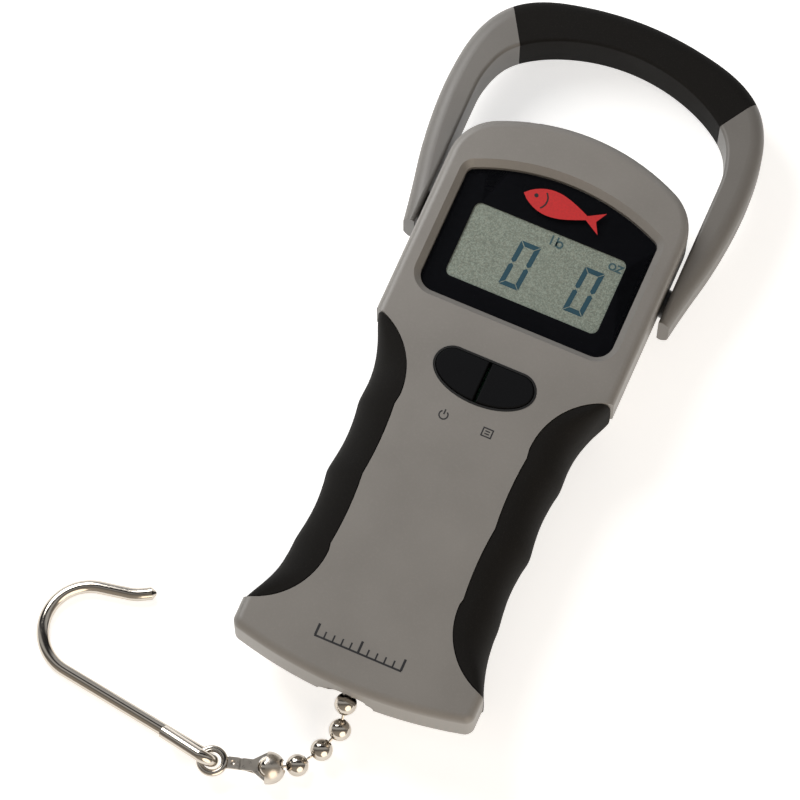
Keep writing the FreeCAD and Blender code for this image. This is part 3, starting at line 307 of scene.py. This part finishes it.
# ---- display figures --------------------------------------------------------------------
DIGIT_WIDTH = 6.0
DIGIT_HEIGHT = 14.3
DIGIT_LOW_Y = 43.7
SEGMENT = 1.45
GAP = 0.16                      # half of the gap between two segments
SLANT = math.tan(math.radians(4.5))
DIGIT_XS = (-4.5, 15.0)


def digit_zero(centre_x):
    """The six outer segments of a slanted figure, mitred at the corners."""
    wide, high = DIGIT_WIDTH / 2, DIGIT_HEIGHT / 2
    top = [(-wide + GAP, high), (wide - GAP, high),
           (wide - SEGMENT - GAP, high - SEGMENT), (-wide + SEGMENT + GAP, high - SEGMENT)]
    side = [(wide, high - GAP), (wide, GAP + SEGMENT * 0.4), (wide - SEGMENT / 2, GAP),
            (wide - SEGMENT, GAP + SEGMENT * 0.4), (wide - SEGMENT, high - SEGMENT - GAP)]
    turns = [(top, 1, 1), (top, 1, -1), (side, 1, 1), (side, -1, 1), (side, 1, -1), (side, -1, -1)]
    outlines = []
    for shape, turn_x, turn_y in turns:
        points = [(x * turn_x, y * turn_y) for x, y in shape]
        if turn_x == turn_y:
            points.reverse()
        outlines.append([(centre_x + x + SLANT * y, DIGIT_LOW_Y + high + y) for x, y in points])
    return outlines


UNIT_Y = 60.0                   # foot of the small letters
STEM = 2.9                      # height of a tall letter
BOWL = 0.9                      # radius of a small letter's bowl
PEN = 0.5


def letter_l(x, y):
    return stroke([(x, y), (x, y + STEM)], PEN)


def letter_b(x, y):
    return letter_l(x, y) + letter_o(x, y)


def letter_o(x, y):
    return stroke(arc_points((x + BOWL, y + BOWL), BOWL, 0, 360, 18)[:-1], PEN, True)


def letter_z(x, y):
    wide = 1.8 * BOWL
    return stroke([(x, y + 2 * BOWL), (x + wide, y + 2 * BOWL), (x, y), (x + wide, y)], PEN)


lcd_ink = ink("lcd_segment", (0.016, 0.075, 0.110), 0.5)
figures = []
for digit_x in DIGIT_XS:
    figures += digit_zero(digit_x)
prints("display_digits", figures, LCD_TOP_Z, "scale_body", lcd_ink)
units = letter_l(0.8, UNIT_Y) + letter_b(2.4, UNIT_Y)
units += letter_o(18.6, UNIT_Y) + letter_z(20.8, UNIT_Y)
unit_ink = ink("lcd_faint_segment", (0.050, 0.115, 0.135), 0.5)
prints("display_units", units, LCD_TOP_Z, "scale_body", unit_ink)


# ---- printed marks ----------------------------------------------------------------------
FISH_CENTRE = (0.2, 70.7)
FISH_LENGTH = 24.0
FISH_DEPTH = 7.2
EYE_CENTRE = (-8.2, 71.3)
EYE_R = 0.62
GILL_CENTRE = (-8.0, 70.7)
GILL_R = 3.3
POWER_CENTRE = (-6.2, 0.9)
POWER_R = 1.25
MEMORY_X = (5.6, 8.4)
MEMORY_Y = (-0.3, 2.1)
BAR_X = (-13.5, 12.5)
BAR_Y = -71.2
TICK_FOOT_Y = -71.0
TICK_START = -13.3
TICK_STEP = 2.56
TICKS = 11
LONG_TICK = (3.4, 0.7)          # height and width
SHORT_TICK = (1.9, 0.45)


def fish_outline(centre, length, depth):
    """A plain fish: a lens-shaped body that runs into a forked tail."""
    body_end = length * 0.30
    nose = -length / 2
    upper = []
    for index in range(15):
        t = index / 14
        x = nose + (body_end - nose) * t
        y = depth / 2 * math.sin(math.pi * t ** 0.8) + depth * 0.09 * t
        upper.append((x, y))
    tail = [(length / 2, depth * 0.48), (length * 0.42, 0.0), (length / 2, -depth * 0.48)]
    lower = [(x, -y) for x, y in reversed(upper)]
    ring = upper + tail + lower[:-1]
    return [(centre[0] + x, centre[1] + y) for x, y in reversed(ring)]


red_ink = ink("red_print", (0.44, 0.006, 0.007), 0.55)
dark_ink = ink("dark_print", (0.010, 0.010, 0.012), 0.45)
eye_ink = ink("eye_print", (0.006, 0.006, 0.007), 0.4)
fish = fish_outline(FISH_CENTRE, FISH_LENGTH, FISH_DEPTH)
prints("fish_mark", [fish], LENS_TOP_Z, "scale_body", red_ink)
eye = arc_points(EYE_CENTRE, EYE_R, 0, 360, 16)[:-1]
gill = stroke(arc_points(GILL_CENTRE, GILL_R, -48, 48, 12), 0.45)
prints("fish_mark_details", [eye] + gill, LENS_TOP_Z + INK, "scale_body", eye_ink)

power_x, power_y = POWER_CENTRE
power = stroke(arc_points(POWER_CENTRE, POWER_R, 125, 415, 20), 0.4)
power += stroke([(power_x, power_y + 0.2), (power_x, power_y + 1.7)], 0.4)
left, right = MEMORY_X
low, high = MEMORY_Y
memory = stroke([(left, low), (right, low), (right, high), (left, high)], 0.38, True)
for row in (0.8, 1.6):
    memory += stroke([(left + 0.7, low + row), (right - 0.7, low + row)], 0.34)
prints("key_icons", power + memory, FACE_Z, "scale_body", dark_ink)

bar = stroke([(BAR_X[0], BAR_Y), (BAR_X[1], BAR_Y)], 0.55)
for index in range(TICKS):
    x = TICK_START + TICK_STEP * index
    tall, wide = LONG_TICK if index % 5 == 0 else SHORT_TICK
    bar += stroke([(x, TICK_FOOT_Y), (x, TICK_FOOT_Y + tall)], wide)
prints("capacity_bar", bar, FACE_Z, "scale_body", dark_ink)


# ---- stage ------------------------------------------------------------------------------
VIEW_AZIMUTH = math.radians(23.6)
VIEW_ELEVATION = math.radians(72.5)
VIEW_CENTRE = Vector((-18.97, 0.0, 28.0)) * MM
VIEW_DISTANCE = 1.4925
VIEW_LENS = 241.8

level = math.cos(VIEW_ELEVATION)
view_back = Vector((math.sin(VIEW_AZIMUTH) * level, -math.cos(VIEW_AZIMUTH) * level,
                    math.sin(VIEW_ELEVATION)))
view_right = Vector((math.cos(VIEW_AZIMUTH), math.sin(VIEW_AZIMUTH), 0))
view_up = view_back.cross(view_right)


def facing(back, right, place):
    """A matrix whose Z axis is back, X axis is right and origin is place."""
    up = back.cross(right)
    turn = Matrix((right, up, back)).transposed().to_4x4()
    turn.translation = place
    return turn


camera_data = bpy.data.cameras.new("camera")
camera_data.lens = VIEW_LENS
camera_data.sensor_width = 36.0
camera_data.clip_end = 20.0
camera = bpy.data.objects.new("camera", camera_data)
bpy.context.collection.objects.link(camera)
camera.matrix_world = facing(view_back, view_right, VIEW_CENTRE + view_back * VIEW_DISTANCE)
bpy.context.scene.camera = camera


level_up = Vector((-math.sin(VIEW_AZIMUTH), math.cos(VIEW_AZIMUTH), 0))


def softbox(name, right, up, height, power, size, color):
    """A round soft light, placed from the view's centre and turned towards it."""
    place = VIEW_CENTRE + view_right * right + level_up * up + Vector((0, 0, height))
    data = bpy.data.lights.new(name, "AREA")
    data.shape = "DISK"
    data.size = size
    data.energy = power
    data.color = color
    light = bpy.data.objects.new(name, data)
    bpy.context.collection.objects.link(light)
    back = (place - VIEW_CENTRE).normalized()
    side = Vector((0, 1, 0)).cross(back).normalized()
    light.matrix_world = facing(back, side, place)


softbox("key_light", right=-0.22, up=0.28, height=0.32,
        power=1.95, size=0.34, color=(1.0, 0.995, 0.985))
softbox("fill_light", right=0.35, up=-0.80, height=0.34,
        power=4.6, size=0.9, color=(1.0, 0.87, 0.72))

FLOOR_REACH = 3.0
floor_corners = [(x * FLOOR_REACH, y * FLOOR_REACH, 0) for x, y in ((-1, -1), (1, -1), (1, 1), (-1, 1))]
floor_mesh = bpy.data.meshes.new("floor")
floor_mesh.from_pydata(floor_corners, [], [(0, 1, 2, 3)])
floor = bpy.data.objects.new("floor", floor_mesh)
bpy.context.collection.objects.link(floor)
floor_look = Material("floor_paper")
paper = floor_look.noise(60.0, 3.0)
floor_look.set(Base_Color=floor_look.blend(paper, (0.86, 0.85, 0.83), (0.89, 0.88, 0.86)),
               Roughness=floor_look.ramp(paper, 0.8, 0.9), Emission_Strength=0.60,
               Emission_Color=floor_look.blend(paper, (1.0, 1.0, 1.0), (0.99, 0.99, 0.99)))
floor_mesh.materials.append(floor_look.material)

world = bpy.data.worlds.new("studio")
bpy.context.scene.world = world
world.use_nodes = True
world_tree = world.node_tree
direction = world_tree.nodes.new("ShaderNodeTexCoord").outputs["Generated"]
across = world_tree.nodes.new("ShaderNodeVectorMath")
across.operation = "DOT_PRODUCT"
across.inputs[1].default_value = view_up
world_tree.links.new(direction, across.inputs[0])
spread = world_tree.nodes.new("ShaderNodeMapRange")
spread.inputs["From Min"].default_value = -1.0
spread.inputs["From Max"].default_value = 1.0
world_tree.links.new(across.outputs["Value"], spread.inputs["Value"])
sky = world_tree.nodes.new("ShaderNodeValToRGB")
world_tree.links.new(spread.outputs["Result"], sky.inputs["Fac"])
# brightness of the room from below to above the view: plated metal mirrors these bands
BANDS = ((0.0, (0.80, 0.72, 0.62)), (0.36, (0.60, 0.54, 0.47)), (0.46, (0.24, 0.22, 0.20)),
         (0.52, (0.30, 0.29, 0.28)), (0.60, (0.95, 0.95, 0.95)), (0.70, (0.90, 0.90, 0.90)),
         (0.74, (0.04, 0.04, 0.045)), (0.85, (0.04, 0.04, 0.045)), (0.90, (0.90, 0.91, 0.93)),
         (1.0, (0.80, 0.81, 0.84)))
while len(sky.color_ramp.elements) < len(BANDS):
    sky.color_ramp.elements.new(0.5)
for element, (position, color) in zip(sky.color_ramp.elements, BANDS):
    element.position = position
    element.color = (*color, 1)
background = world_tree.nodes["Background"]
background.inputs["Strength"].default_value = 0.55
world_tree.links.new(sky.outputs["Color"], background.inputs["Color"])
bpy.context.scene.view_settings.view_transform = "Standard"
